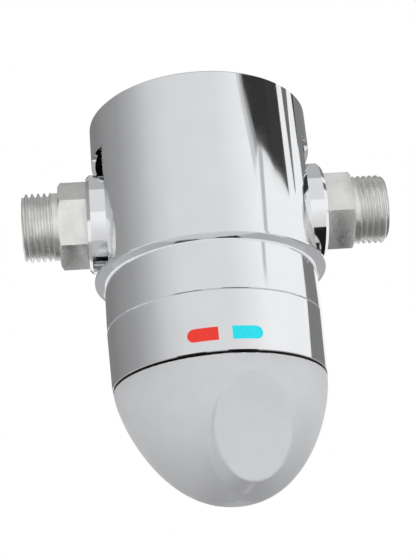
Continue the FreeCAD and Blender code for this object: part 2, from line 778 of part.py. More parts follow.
def thumb_dish_solid():
    """A flat ellipsoid that hollows the pad's face and leaves a narrow rim."""
    width = sizes.pad_half_width - sizes.pad_rim
    height = sizes.pad_half_height - sizes.pad_rim
    ball_r = (width ** 2 + sizes.pad_dish ** 2) / (2 * sizes.pad_dish)
    stretch = FreeCAD.Matrix()
    stretch.A22 = height / width
    cap_edge = math.degrees(math.asin(6 * sizes.pad_dish / ball_r - 1))
    dish = Part.makeSphere(ball_r, FreeCAD.Vector(), Z, -90, cap_edge, 360).transformGeometry(stretch)
    dish.translate(Z * (sizes.pad_reach - sizes.pad_dish + ball_r))
    return dish


def knob_outside():
    """Dome and thumb pad in one, with the pad's axis tipped down towards the front."""
    pad_frame = FreeCAD.Placement(Z * -sizes.pad_axis_drop, FreeCAD.Rotation(X, 90 + sizes.pad_tilt))
    pad, dish = thumb_pad_solid(), thumb_dish_solid()
    pad.Placement = pad_frame
    dish.Placement = pad_frame * dish.Placement
    above = Part.makeCylinder(sizes.knob_r + sizes.pad_reach, sizes.knob_height)
    return shaped("knob_outside", dome_solid().fuse(pad).cut(above).cut(dish))


def knob(screw_hole):
    hollow = turned("knob_hollow", [
        ("hub_r", "0"), ("knob_hollow_r", "0"), ("knob_hollow_r", "-knob_hollow_depth"),
        ("knob_hollow_low_r", "-knob_hollow_floor"), ("hub_r", "-knob_hollow_floor"),
    ])
    hub_top = turned("hub_clearance", [
        ("0", "-hub_drop"), ("hub_r", "-hub_drop"), ("hub_r", "0"), ("0", "0"),
    ])
    hub_bore = turned("hub_bore", [
        ("0", "-hub_bore_floor"), ("spindle_end_r + cartridge_fit", "-hub_bore_floor"),
        ("spindle_end_r + cartridge_fit", "-hub_drop"), ("0", "-hub_drop"),
    ])
    body = cut("knob_shell", knob_outside(), hollow, hub_top, hub_bore, screw_hole)
    rib = slab("stop_rib", [
        ("-stop_rib_width / 2", "-knob_hollow_r - 1"), ("stop_rib_width / 2", "-knob_hollow_r - 1"),
        ("stop_rib_width / 2", "-stop_rib_r"), ("-stop_rib_width / 2", "-stop_rib_r"),
    ], "stop_rib_depth")
    put(rib, "-(stop_rib_drop + stop_rib_depth)")
    return joined("knob", body, rib)


def knob_screw_hole():
    hole = rod("screw_hole", "screw_r", "knob_r")
    return put(hole, "-screw_drop_on_knob", FreeCAD.Rotation(X, -90))


def knob_grub_screw():
    shank = rod("screw_shank", "screw_r - cartridge_fit", "screw_length")
    socket = doc.addObject("Part::Prism", "screw_socket")
    socket.Polygon = 6
    bind(socket, Circumradius="screw_socket_r", Height="screw_socket_depth")
    put(socket, "screw_length - screw_socket_depth")
    return cut("knob_grub_screw", shank, socket)


# ---------------------------------------------------------------- inlets

HEX_TURNS = {"hot": -sizes.hot_hex_angle, "cold": sizes.cold_hex_angle}
HEX_END = "(boss_reach + hex_length)"
THREAD_START = "(boss_reach + hex_length + relief_length)"
NIPPLE_END = "(boss_reach + hex_length + relief_length + thread_length)"
HEX_CORNER_R = "(hex_flats / sqrt(3))"
CHECK_CLIP_R = "(pocket_r + check_clip_depth)"
POCKET_END = "(boss_reach + pocket_beyond)"
THROAT_END = "(boss_reach + pocket_beyond + throat_length)"
CLIP_START = "(boss_reach - check_clip_inset)"
CHECK_START = "(boss_reach - check_clip_inset + check_clip_height)"
CAGE_R = "(pocket_r - check_fit)"
CAGE_BORE = "(pocket_r - check_fit - cage_wall)"
SEAT_FACE = "(%s - cage_seat)" % POCKET_END
GUIDE_TOP = "(%s + guide_height)" % CHECK_START
POPPET_LOW = "(%s - seat_gap - poppet_height)" % SEAT_FACE
POPPET_HIGH = "(%s - seat_gap)" % SEAT_FACE


def inlet_nipple(side):
    stem = turned(side + "_nipple_stem", [
        ("0", TAIL_END), ("tail_r", TAIL_END), ("tail_r", HEX_END), ("relief_r", HEX_END),
        ("relief_r", THREAD_START), ("thread_r", THREAD_START), ("thread_r", NIPPLE_END + " - thread_edge"),
        ("thread_r - thread_edge", NIPPLE_END), ("0", NIPPLE_END),
    ])
    prism = doc.addObject("Part::Prism", side + "_nipple_prism")
    prism.Polygon = 6
    bind(prism, Circumradius=HEX_CORNER_R, Height="hex_length")
    put(prism, "boss_reach", FreeCAD.Rotation(Z, HEX_TURNS[side]))
    envelope = turned(side + "_nipple_envelope", [
        ("0", "boss_reach"), (HEX_CORNER_R, "boss_reach"), (HEX_CORNER_R, HEX_END + " - hex_edge / sqrt(3)"),
        (HEX_CORNER_R + " - hex_edge", HEX_END), ("0", HEX_END),
    ])
    bore = turned(side + "_nipple_bore", [
        ("0", TAIL_END), ("pocket_r", TAIL_END), ("pocket_r", CLIP_START),
        (CHECK_CLIP_R, CLIP_START), (CHECK_CLIP_R, CHECK_START), ("pocket_r", CHECK_START),
        ("pocket_r", POCKET_END), ("throat_r", POCKET_END), ("throat_r", THROAT_END),
        ("inlet_mouth_r", THROAT_END), ("inlet_mouth_r", NIPPLE_END), ("0", NIPPLE_END),
    ])
    hexagon = shared(side + "_nipple_hexagon", prism, envelope)
    return cut(side + "_inlet_nipple", joined(side + "_nipple_outside", stem, hexagon), bore)


def inlet_seal(side):
    low = "boss_reach - inlet_seal_depth"
    return turned(side + "_inlet_seal", [
        (TAIL_BORE, low), ("inlet_seal_r", low), ("inlet_seal_r", "boss_reach"), (TAIL_BORE, "boss_reach"),
    ])


def strainer(side):
    """A perforated disc in a stiff rim, dropped into the nipple's mouth."""
    outer = sizes.inlet_mouth_r - sizes.check_fit
    inner = outer - sizes.strainer_rim
    seat = Z * (sizes.boss_reach + sizes.pocket_beyond + sizes.throat_length)
    disc = Part.makeCylinder(outer, sizes.strainer_height, seat)
    recess = Part.makeCylinder(inner, sizes.strainer_height, seat + Z * sizes.strainer_plate)
    reach = inner - 2 * sizes.strainer_hole_r
    pitch = sizes.strainer_pitch
    rows = int(reach / pitch) + 1
    holes = []
    for row in range(-rows, rows + 1):
        for column in range(-rows - 1, rows + 1):
            spot = FreeCAD.Vector((column + 0.5 * (row % 2)) * pitch, row * pitch * math.sqrt(3) / 2)
            if spot.Length <= reach:
                holes.append(Part.makeCylinder(sizes.strainer_hole_r, sizes.strainer_plate, seat + spot))
    return shaped(side + "_strainer", disc.cut(recess).cut(Part.makeCompound(holes)))


def check_cage(side):
    return turned(side + "_check_cage", [
        (CAGE_BORE, CHECK_START), (CAGE_R, CHECK_START),
        (CAGE_R, POCKET_END), ("cage_seat_r", POCKET_END),
        ("cage_seat_r", SEAT_FACE), (CAGE_BORE, SEAT_FACE),
    ])


def check_guide(side):
    disc = turned(side + "_guide_disc", [
        ("poppet_stem_r + running_fit", CHECK_START), (CAGE_BORE + " - check_fit", CHECK_START),
        (CAGE_BORE + " - check_fit", GUIDE_TOP), ("poppet_stem_r + running_fit", GUIDE_TOP),
    ])
    holes = ring_of_holes(side + "_guide_hole", 4, "guide_hole_r", "guide_hole_pitch_r",
                          "guide_height", CHECK_START)
    return cut(side + "_check_guide", disc, *holes)


def check_poppet(side):
    return turned(side + "_check_poppet", [
        ("0", CLIP_START), ("poppet_stem_r", CLIP_START), ("poppet_stem_r", POPPET_LOW),
        ("poppet_r", POPPET_LOW), ("poppet_r", POPPET_HIGH), ("0", POPPET_HIGH),
    ])


def check_spring(side):
    low = sizes.boss_reach - sizes.check_clip_inset + sizes.check_clip_height + sizes.guide_height
    high = sizes.boss_reach + sizes.pocket_beyond - sizes.cage_seat - sizes.seat_gap - sizes.poppet_height
    return coil(side + "_check_spring", sizes.check_wire, sizes.check_spring_r, sizes.check_turns, low, high)


# ---------------------------------------------------------------- assembly

for thing in (valve_body(), cover_sleeve(), sleeve_o_ring(), index_ring(),
              colour_field("hot_mark", "-1"), colour_field("cold_mark", "1"),
              cartridge_body(), cartridge_cap(), cartridge_nut(), limit_stop_ring(),
              mixing_shuttle(), shuttle_o_ring(), wax_capsule(), capsule_piston(), return_spring(),
              adjusting_nut(), overload_spring(), piston_pad(),
              split_ring("pad_clip", "cup_r - 2 * clip_reach", "cup_r + clip_reach", CLIP_LOW, CLIP_HIGH)):
    keep(thing)
for name, level in SEALS.items():
    keep(cartridge_o_ring(name, level))

# Everything that turns with the knob is made facing -Y and then turned to the knob's rest position.
knob_turn = FreeCAD.Rotation(Z, sizes.knob_azimuth)
keep(spindle(), knob_turn)
for name, level in SPINDLE_SEALS.items():
    keep(spindle_o_ring(name, level), knob_turn)
keep(split_ring("spindle_circlip", "spindle_r - circlip_depth", "spindle_r + circlip_reach",
                CIRCLIP_LOW, CIRCLIP_HIGH), knob_turn)
pieces.append(put(knob(knob_screw_hole()), "-inlet_drop + " + KNOB_TOP, knob_turn))
pieces.append(put(knob_grub_screw(), "-inlet_drop + %s - screw_drop_on_knob" % KNOB_TOP,
                  knob_turn * FreeCAD.Rotation(X, -90),
                  right="-spindle_flat * sin(knob_azimuth)", back="spindle_flat * cos(knob_azimuth)"))

for side, rotation in SIDES.items():
    for thing in (inlet_nipple(side), inlet_seal(side), strainer(side), check_cage(side), check_guide(side),
                  check_poppet(side), check_spring(side),
                  split_ring(side + "_check_clip", "check_clip_inner_r", CHECK_CLIP_R,
                             CLIP_START, CHECK_START)):
        keep(thing, rotation)

doc.recompute()

# ---------------------------------------------------------------- checks and export

for thing in doc.Objects:
    if "Invalid" in thing.State or "Error" in thing.State:
        raise RuntimeError("%s failed: %s" % (thing.Label, thing.State))
for piece in pieces:
    if piece.Shape.isNull() or not piece.Shape.isValid() or piece.Shape.Volume <= 0:
        raise RuntimeError("%s has no sound shape" % piece.Label)

os.makedirs("parts", exist_ok=True)
for piece in pieces:
    piece.Shape.exportStep("parts/%s.step" % piece.Label)
    print("%-26s %2d solid %10.1f mm3" % (piece.Label, len(piece.Shape.Solids), piece.Shape.Volume))
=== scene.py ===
"""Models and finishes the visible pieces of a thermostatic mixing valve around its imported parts.

The valve hangs from its outlet: +Z points up out of the barrel, hot water comes in along -X and
cold along +X, and the temperature knob hangs below. Sizes are in metres.
"""

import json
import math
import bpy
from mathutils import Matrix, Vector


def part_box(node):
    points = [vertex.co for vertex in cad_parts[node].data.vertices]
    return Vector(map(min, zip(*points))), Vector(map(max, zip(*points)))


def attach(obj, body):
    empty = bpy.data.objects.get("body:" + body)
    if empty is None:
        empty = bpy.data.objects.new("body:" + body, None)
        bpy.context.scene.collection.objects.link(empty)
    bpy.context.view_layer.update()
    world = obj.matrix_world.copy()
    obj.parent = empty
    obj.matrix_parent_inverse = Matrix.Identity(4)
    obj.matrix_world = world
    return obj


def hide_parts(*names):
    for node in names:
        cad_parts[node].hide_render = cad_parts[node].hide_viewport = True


bl_info = {
    "name": "Thermostatic Mixing Valve",
    "version": (1, 0, 0),
    "blender": (4, 5, 0),
    "location": "3D View > Sidebar > Mixing Valve",
    "description": "Models and finishes a chromed thermostatic mixing valve",
    "category": "Object",
}

import bpy
from bpy.props import FloatProperty, FloatVectorProperty, IntProperty, PointerProperty
from mathutils import Matrix, Vector

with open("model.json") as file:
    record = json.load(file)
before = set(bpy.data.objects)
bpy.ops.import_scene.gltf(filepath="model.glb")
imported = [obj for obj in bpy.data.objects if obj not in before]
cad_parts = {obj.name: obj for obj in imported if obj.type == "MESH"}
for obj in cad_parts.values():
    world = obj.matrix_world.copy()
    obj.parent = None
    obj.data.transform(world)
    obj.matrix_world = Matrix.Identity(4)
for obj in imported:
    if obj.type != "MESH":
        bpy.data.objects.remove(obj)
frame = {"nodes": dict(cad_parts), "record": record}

MM = 0.001
NODES = frame["nodes"]
RECORD = frame["record"]
SLOTS = {part["node"]: part["material_slot"] for part in RECORD["subparts"]}
BODIES = {node: body for body, nodes in RECORD["behaviour"]["bodies"].items() for node in nodes}

INLET_LOW, INLET_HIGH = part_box("cold_inlet_nipple")
SEAL_LOW, SEAL_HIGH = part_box("cold_inlet_seal")
KNOB_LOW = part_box("knob")[0]
RING_LOW, RING_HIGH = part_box("index_ring")
AXIS_HEIGHT = (SEAL_LOW.z + SEAL_HIGH.z) / 2      # the inlets' common axis


def linear(code):
    """An sRGB hex colour as linear red, green and blue."""
    channels = [int(code[i:i + 2], 16) / 255 for i in (1, 3, 5)]
    return [c / 12.92 if c <= 0.04045 else ((c + 0.055) / 1.055) ** 2.4 for c in channels]


# ---------------------------------------------------------------- settings

def length(name, description, millimetres):
    return FloatProperty(name=name, description=description, default=millimetres * MM, unit="LENGTH",
                         precision=5)


def angle(name, description, degrees):
    return FloatProperty(name=name, description=description, default=math.radians(degrees), subtype="ANGLE")


def colour(name, description, code):
    return FloatVectorProperty(name=name, description=description, default=linear(code), subtype="COLOR",
                               min=0, max=1)


class InletSizes(bpy.types.PropertyGroup):
    """Sizes of the two inlet nipples."""
    thread_pitch: length("Thread pitch", "14 threads to the inch, as on every half-inch pipe", 1.814)
    thread_crest: length("Crest radius", "Half the thread's outside diameter", 10.48)
    thread_root: length("Root radius", "Half the thread's core diameter", 9.32)
    thread_length: length("Thread length", "From the plain land to the end face", 9.3)
    thread_edge: length("Thread chamfer", "Lead-in at the end face", 0.9)
    land_radius: length("Land radius", "Plain land between hexagon and thread", 10.25)
    land_length: length("Land length", "Width of that land", 1.5)
    hex_length: length("Hexagon length", "Along the inlet's axis", 8.6)
    hex_flats: length("Hexagon flats", "Spanner size", 23.2)
    hex_edge: length("Hexagon chamfer", "Depth of the turned chamfer on the outer corners", 1.3)
    hot_turn: angle("Hot hexagon turn", "How far the hot nipple was tightened", -19)
    cold_turn: angle("Cold hexagon turn", "How far the cold nipple was tightened", 53)
    tail_radius: length("Tail radius", "The part screwed into the casting", 10.25)
    pocket_radius: length("Pocket radius", "Seat of the check valve", 8.4)
    pocket_length: length("Pocket length", "From the tail's end", 15.2)
    throat_radius: length("Throat radius", "Between check valve and strainer", 6.0)
    throat_length: length("Throat length", "Between check valve and strainer", 2.0)
    mouth_radius: length("Mouth radius", "Bore at the threaded end", 8.0)


class KnobSizes(bpy.types.PropertyGroup):
    """Sizes of the temperature knob."""
    radius: length("Radius", "At the rim", 30.9)
    height: length("Height", "From the rim to the tip", 35.3)
    lean: length("Lean", "How far the tip leans towards the thumb pad", 7.0)
    turn: angle("Turn", "From the front towards the cold side, at rest", 12)
    pad_drop: length("Pad axis drop", "Rim down to where the pad's axis leaves the knob's", 11.7)
    pad_tilt: angle("Pad tilt", "How far the pad's axis tips down", 15)
    pad_reach: length("Pad reach", "Along its axis, from the knob's axis to its face", 28.1)
    pad_half_width: length("Pad half width", "Half of the oval across", 10.8)
    pad_half_height: length("Pad half height", "Half of the oval upwards", 14.6)
    pad_flare: angle("Pad flare", "How much the pad widens towards its foot", 22)
    pad_rim: length("Pad rim", "Width of the flat rim round the dish", 0.4)
    pad_dish: length("Pad dish", "Depth of the hollow for the thumb", 1.0)
    screw_radius: length("Screw hole radius", "Hole for the grub screw, at the back", 2.5)
    screw_drop: length("Screw hole drop", "Rim down to the hole", 10)
    grain: length("Surface step", "Spacing of the moulded surface's points", 0.4)
    rounding: IntProperty(name="Rounding", description="Passes that soften the moulded edges", default=1,
                          min=0)


class FinishColours(bpy.types.PropertyGroup):
    """Colours of the valve's finishes."""
    chrome: colour("Chrome", "Polished chrome plate", "#EDEEF0")
    satin: colour("Satin chrome", "Blasted and plated knob", "#DCDDDF")
    nickel: colour("Nickel", "Blasted and plated nipples", "#ECECEA")
    brass: colour("Brass", "Turned, not plated", "#C9A45C")
    red: colour("Hot mark", "Enamel of the hot mark", "#FF3222")
    blue: colour("Cold mark", "Enamel of the cold mark", "#00F0FF")
    acetal: colour("Acetal", "Moulded inner pieces", "#E4E3DC")
    copper: colour("Copper", "Wax capsule", "#B87350")
    steel: colour("Stainless steel", "Springs, clips and strainers", "#B9BABC")
    rubber: colour("Rubber", "O-rings", "#1C1C1C")
    fibre: colour("Fibre", "Flat washers of the nipples", "#8C3B30")
    # Painted shade: the grey on the index ring's top and bottom edges stands for the shadow in the gaps
    # beside them.
    painted_gap_shade: colour("Shaded joint", "Edges of the index ring", "#9A9A9A")


class StageSizes(bpy.types.PropertyGroup):
    """Camera and studio."""
    azimuth: angle("Camera azimuth", "From the front towards the hot side", 4.875)
    elevation: angle("Camera elevation", "Below the inlets' level", 24.51)
    roll: angle("Camera roll", "Tilt of the picture", -5.241)
    distance: length("Camera distance", "To the crossing of the inlets' axis and the barrel's", 388)
    lens: FloatProperty(name="Lens", description="Focal length in millimetres for a 36 mm sensor",
                        default=82.18)
    floor_drop: length("Floor", "Depth of the floor below the outlet", 450)
    tent_radius: length("Light tent", "Radius of the wall round the valve", 900)
    paper: colour("Paper", "Floor and background", "#FFFFFF")


# ---------------------------------------------------------------- modelling

def only(piece):
    """Select one object and nothing else."""
    bpy.ops.object.select_all(action="DESELECT")
    piece.select_set(True)
    bpy.context.view_layer.objects.active = piece


def edit(piece):
    """Enter edit mode with the whole mesh selected."""
    only(piece)
    bpy.ops.object.mode_set(mode="EDIT")
    bpy.ops.mesh.select_all(action="SELECT")


def leave_edit():
    bpy.ops.object.mode_set(mode="OBJECT")


def named(name):
    """Name the primitive that was just added and settle its place in its mesh."""
    piece = bpy.context.object
    piece.name = name
    piece.data.name = name
    bpy.ops.object.transform_apply(location=True, rotation=True, scale=True)
    return piece


def close_up(piece):
    """Weld what meets and turn all faces outwards."""
    edit(piece)
    bpy.ops.mesh.remove_doubles(threshold=0.002 * MM)
    bpy.ops.mesh.normals_make_consistent(inside=False)
    leave_edit()


def turned(name, corners, segments=128):
    """Turn a closed outline of (radius, height) corners: a ring is extruded from corner to corner."""
    bpy.ops.object.select_all(action="DESELECT")
    axis = 0.0001 * MM      # a corner on the axis is a ring this small until the welding
    outline = [(max(radius, axis), height) for radius, height in corners]
    if corners[0][0] > 0 or corners[-1][0] > 0:
        outline.append(outline[0])      # an outline that leaves the axis free closes on itself
    radius, height = outline[0]
    bpy.ops.mesh.primitive_circle_add(vertices=segments, radius=1, location=(0, 0, height))
    piece = bpy.context.object
    piece.scale = (radius, radius, 1)
    named(name)
    edit(piece)
    for next_radius, next_height in outline[1:]:
        bpy.ops.mesh.extrude_region_move(TRANSFORM_OT_translate={"value": (0, 0, next_height - height)})
        grow = next_radius / radius
        bpy.ops.transform.resize(value=(grow, grow, 1), center_override=(0, 0, next_height))
        radius, height = next_radius, next_height
    leave_edit()
    close_up(piece)
    return piece


def combine(piece, tool, operation):
    """Join, cut or intersect a piece with a tool, which is used up."""
    only(piece)
    step = piece.modifiers.new("combine", "BOOLEAN")
    step.operation = operation
    step.solver = "EXACT"
    step.object = tool
    bpy.ops.object.modifier_apply(modifier=step.name)
    bpy.data.objects.remove(tool)
    return piece


def moved(piece, placement):
    """Carry a finished mesh to its place."""
    piece.data.transform(placement)
    return piece


def finish(piece, node, crease=math.radians(30)):
    """Let a modelled piece stand for its node: shading, finish and the body that it rides on."""
    only(piece)
    bpy.ops.object.shade_smooth_by_angle(angle=crease)
    piece.data.materials.clear()
    piece.data.materials.append(FINISHES[SLOTS[node]]())
    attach(piece, BODIES[node])
    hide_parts(node)


def thread_rod(name, sizes, start, end):
    """A threaded rod along Z: one tooth's outline, wound by a screw and cut off square at both ends."""
    pitch, root, crest = sizes.thread_pitch, sizes.thread_root, sizes.thread_crest
    bpy.ops.object.select_all(action="DESELECT")
    bpy.ops.mesh.primitive_plane_add(size=MM, location=(root, 0, start - pitch))
    rod = named(name)
    edit(rod)
    bpy.ops.mesh.merge(type="CENTER")
    # Flat root, flank, rounded crest, flank: 55 degrees between the flanks.
    deep = crest - root
    for out, along in ((0, 0.08), (0.12 * deep, 0.08), (0.76 * deep, 0.22), (0.12 * deep, 0.08), (0, 0.08),
                       (-0.12 * deep, 0.08), (-0.76 * deep, 0.22), (-0.12 * deep, 0.08), (0, 0.08)):
        bpy.ops.mesh.extrude_region_move(TRANSFORM_OT_translate={"value": (out, 0, along * pitch)})
    leave_edit()
    winding = rod.modifiers.new("winding", "SCREW")
    winding.screw_offset = pitch
    winding.iterations = math.ceil((end - start) / pitch) + 2
    winding.steps = winding.render_steps = 72
    winding.use_merge_vertices = True
    winding.merge_threshold = 0.005 * MM
    only(rod)
    bpy.ops.object.modifier_apply(modifier=winding.name)
    close_up(rod)
    for height, keep_below in ((end, True), (start, False)):
        edit(rod)
        bpy.ops.mesh.bisect(plane_co=(0, 0, height), plane_no=(0, 0, 1), use_fill=True, threshold=0.001 * MM,
                            clear_outer=keep_below, clear_inner=not keep_below)
        leave_edit()
    close_up(rod)
    return rod


def nipple(side, sizes):
    """One inlet nipple along +Z from the barrel's axis, then laid along its inlet."""
    tail_start, end = INLET_LOW.x, INLET_HIGH.x
    thread_start = end - sizes.thread_length
    hex_end = thread_start - sizes.land_length
    hex_start = hex_end - sizes.hex_length
    corner = sizes.hex_flats / math.sqrt(3)
    turn = sizes.hot_turn if side == "hot" else sizes.cold_turn

    bpy.ops.object.select_all(action="DESELECT")
    bpy.ops.mesh.primitive_cylinder_add(vertices=6, radius=corner, depth=sizes.hex_length,
                                        location=(0, 0, (hex_start + hex_end) / 2),
                                        rotation=(0, 0, turn + math.radians(30)))
    piece = named(side + "_nipple")
    edge, past = sizes.hex_edge, 2 * MM      # the turned cones run past what they trim
    combine(piece, turned("hexagon_chamfer", [
        (0, hex_start - past), (corner + past, hex_start - past),
        (corner + past, hex_end - (edge + past) / math.sqrt(3)),
        (corner - edge - past, hex_end + past / math.sqrt(3)), (0, hex_end + past / math.sqrt(3)),
    ], 96), "INTERSECT")
    soften = piece.modifiers.new("soften", "BEVEL")
    soften.width = 0.18 * MM
    soften.segments = 2
    soften.limit_method = "ANGLE"
    soften.angle_limit = math.radians(25)
    only(piece)
    bpy.ops.object.modifier_apply(modifier=soften.name)

    overlap = 0.5 * MM
    combine(piece, turned("tail_and_land", [
        (0, tail_start), (sizes.tail_radius - overlap, tail_start), (sizes.tail_radius, tail_start + overlap),
        (sizes.tail_radius, hex_start + overlap), (sizes.land_radius, hex_start + overlap),
        (sizes.land_radius, thread_start + overlap), (0, thread_start + overlap),
    ]), "UNION")
    rod = thread_rod("thread", sizes, thread_start, end)
    crest, edge = sizes.thread_crest, sizes.thread_edge
    combine(rod, turned("thread_chamfer", [
        (0, thread_start - past), (sizes.land_radius, thread_start - past), (sizes.land_radius, thread_start),
        (crest + past, thread_start + crest + past - sizes.land_radius),
        (crest + past, end - edge - past), (crest - edge - past, end + past), (0, end + past),
    ], 96), "INTERSECT")
    combine(piece, rod, "UNION")
    pocket_end = tail_start + sizes.pocket_length
    throat_end = pocket_end + sizes.throat_length
    combine(piece, turned("water_way", [
        (0, tail_start - MM), (sizes.pocket_radius, tail_start - MM), (sizes.pocket_radius, pocket_end),
        (sizes.throat_radius, pocket_end), (sizes.throat_radius, throat_end),
        (sizes.mouth_radius, throat_end), (sizes.mouth_radius, end - overlap),
        (sizes.mouth_radius + 2 * overlap, end + overlap), (0, end + overlap),
    ]), "DIFFERENCE")
    close_up(piece)
    outwards = 1 if side == "cold" else -1
    lay = Matrix.Translation((0, 0, AXIS_HEIGHT)) @ Matrix.Rotation(outwards * math.pi / 2, 4, "Y")
    return moved(piece, lay)


def knob_dome(sizes):
    """The knob's plain outside, blunt at the tip, and leaning towards the front."""
    steps = 40
    above = 3 * MM      # cut off again once the edges are softened
    along, across = 1.43, 2.19      # exponents of the dome's outline; 2 and 2 would make an ellipse
    outline = [(sizes.radius, above), (sizes.radius, 0)]
    for i in range(1, steps + 1):
        depth = math.sin(math.pi / 2 * i / steps)
        outline.append((sizes.radius * max(0, 1 - depth ** along) ** (1 / across), -sizes.height * depth))
    outline.append((0, above))
    dome = turned("knob_body", outline)
    return moved(dome, Matrix.Shear("XY", 4, (0, sizes.lean / sizes.height)))


def thumb_pad(sizes):
    """The oval pad: a disc drawn out along its axis and narrowed towards its face."""
    root = sizes.pad_reach / 2
    flare = (sizes.pad_reach - root) * math.tan(sizes.pad_flare)
    wide, tall = sizes.pad_half_width, sizes.pad_half_height
    bpy.ops.object.select_all(action="DESELECT")
    bpy.ops.mesh.primitive_circle_add(vertices=128, radius=1, fill_type="NGON", location=(0, 0, root))
    bpy.context.object.scale = (wide + flare, tall + flare, 1)
    pad = named("thumb_pad")
    edit(pad)
    bpy.ops.mesh.extrude_region_move(TRANSFORM_OT_translate={"value": (0, 0, sizes.pad_reach - root)})
    bpy.ops.transform.resize(value=(wide / (wide + flare), tall / (tall + flare), 1),
                             center_override=(0, 0, sizes.pad_reach))
    leave_edit()
    close_up(pad)
    return pad


def thumb_dish(sizes):
    """The cap of a flat ball, which hollows the pad's face and leaves its rim."""
    wide, tall = sizes.pad_half_width - sizes.pad_rim, sizes.pad_half_height - sizes.pad_rim
    ball = (wide ** 2 + sizes.pad_dish ** 2) / (2 * sizes.pad_dish)
    floor = sizes.pad_reach - sizes.pad_dish
    cap = 6 * sizes.pad_dish      # kept height of the ball, well past the pad's face
    bpy.ops.object.select_all(action="DESELECT")
    bpy.ops.mesh.primitive_uv_sphere_add(segments=192, ring_count=192, radius=1,
                                         location=(0, 0, floor + ball))
    bpy.context.object.scale = (ball, ball * tall / wide, ball)
    dish = named("thumb_dish")
    edit(dish)
    bpy.ops.mesh.bisect(plane_co=(0, 0, floor + cap), plane_no=(0, 0, 1), use_fill=True,
                        threshold=0.001 * MM, clear_outer=True)
    leave_edit()
    return dish


def screw_hole(sizes):
    """The hole at the back through which the grub screw is turned, with a small chamfer at its mouth."""
    chamfer_start, end = sizes.radius - 0.9 * MM, sizes.radius + 1.1 * MM      # the end runs past the dome
    hole = turned("screw_hole", [
        (0, 0), (sizes.screw_radius, 0), (sizes.screw_radius, chamfer_start),
        (sizes.screw_radius + 2 * MM, end), (0, end),
    ], 64)
    place = Matrix.Translation((0, 0, -sizes.screw_drop)) @ Matrix.Rotation(-math.pi / 2, 4, "X")
    return moved(hole, place)


# ---------------------------------------------------------------- materials

def node(tree, kind, inputs=None, **settings):
    """Add a node, apply its settings, and set or link its inputs."""
    made = tree.nodes.new(kind)
    for name, value in settings.items():
        setattr(made, name, value)
    for name, value in (inputs or {}).items():
        if isinstance(value, bpy.types.NodeSocket):
            tree.links.new(value, made.inputs[name])
        else:
            made.inputs[name].default_value = value
    return made


def blank(name):
    """A new material with its shader and the piece's own coordinates."""
    material = bpy.data.materials.new(name)
    material.use_nodes = True
    tree = material.node_tree
    return material, tree, tree.nodes["Principled BSDF"], node(tree, "ShaderNodeTexCoord").outputs["Object"]


MADE = {}


def surface(name, metallic, tint, worn, polish, patch_size, grain_size, grain_depth):
    """A finish: its tint and the share of it that is left where it is worn or soiled, its least and
    greatest roughness, the size of the patches in which these change, and the size and depth of its grain."""
    if name in MADE:
        return MADE[name]
    material, tree, shader, place = blank(name)
    shader.inputs["Metallic"].default_value = metallic
    patches = node(tree, "ShaderNodeTexNoise", {"Vector": place, "Scale": 1 / patch_size, "Detail": 4.0})
    spread = {"Value": patches.outputs["Fac"], "From Min": 0.3, "From Max": 0.7}
    share = node(tree, "ShaderNodeMapRange", spread)
    tone = node(tree, "ShaderNodeMix", {
        "Factor": share.outputs["Result"], "A": (*tint, 1), "B": (*(worn * channel for channel in tint), 1),
    }, data_type="RGBA")
    gloss = node(tree, "ShaderNodeMapRange", {**spread, "To Min": polish[0], "To Max": polish[1]})
    grain = node(tree, "ShaderNodeTexNoise", {"Vector": place, "Scale": 1 / grain_size, "Detail": 3.0})
    bump = node(tree, "ShaderNodeBump", {
        "Height": grain.outputs["Fac"], "Strength": 1.0, "Distance": grain_depth,
    })
    tree.links.new(tone.outputs[2], shader.inputs["Base Color"])
    tree.links.new(gloss.outputs["Result"], shader.inputs["Roughness"])
    tree.links.new(bump.outputs["Normal"], shader.inputs["Normal"])
    MADE[name] = material
    return material


def colours():
    return bpy.context.scene.valve_finishes


# Chrome on polished brass: a mirror, with the faint orange peel of the buffed casting under it.
def cast_chrome():
    return surface("chrome_on_polished_casting", 1, colours().chrome, 0.97, (0.05, 0.10),
                   9 * MM, 6 * MM, 0.003 * MM)


# Chrome on turned tube: the same mirror, flatter.
def tube_chrome():
    return surface("chrome_on_turned_tube", 1, colours().chrome, 0.97, (0.04, 0.08),
                   9 * MM, 8 * MM, 0.002 * MM)


# Chrome on the turned ring: a mirror outside, with painted shade on its edges, which turn greyer where the
# joints to its neighbours lie in shadow.
def ring_chrome():
    name = "chrome_on_turned_ring"
    if name in MADE:
        return MADE[name]
    material = tube_chrome().copy()
    material.name = name
    tree = material.node_tree
    shader = tree.nodes["Principled BSDF"]
    clean = shader.inputs["Base Color"].links[0].from_socket
    place = node(tree, "ShaderNodeTexCoord").outputs["Object"]
    # Painted shade: near the ring's top and bottom faces the chrome's tint fades to this grey, which stands
    # for the shadow in the joints.
    centred = node(tree, "ShaderNodeMapping", {
        "Vector": place, "Location": (0, 0, -(RING_LOW.z + RING_HIGH.z) / 2),
    })
    height = node(tree, "ShaderNodeSeparateXYZ", {"Vector": centred.outputs["Vector"]})
    from_middle = node(tree, "ShaderNodeMath", {0: height.outputs["Z"]}, operation="ABSOLUTE")
    edge = (RING_HIGH.z - RING_LOW.z) / 2
    joint = node(tree, "ShaderNodeMapRange", {
        "Value": from_middle.outputs["Value"], "From Min": edge - 0.14 * MM, "From Max": edge - 0.04 * MM,
    })
    dimmed = node(tree, "ShaderNodeMix", {
        "Factor": joint.outputs["Result"], "A": clean, "B": (*colours().painted_gap_shade, 1),
    }, data_type="RGBA")
    tree.links.new(dimmed.outputs[2], shader.inputs["Base Color"])
    MADE[name] = material
    return material


# Satin chrome on moulded ABS: a soft even sheen, half metal and half pale grey, from a fine blasted grain.
# The grain is drawn at 0.25 mm, coarser than it is, so that it can be seen.
def satin_chrome():
    return surface("satin_chrome_on_abs", 0.45, colours().satin, 0.98, (0.52, 0.60),
                   5 * MM, 0.25 * MM, 0.004 * MM)


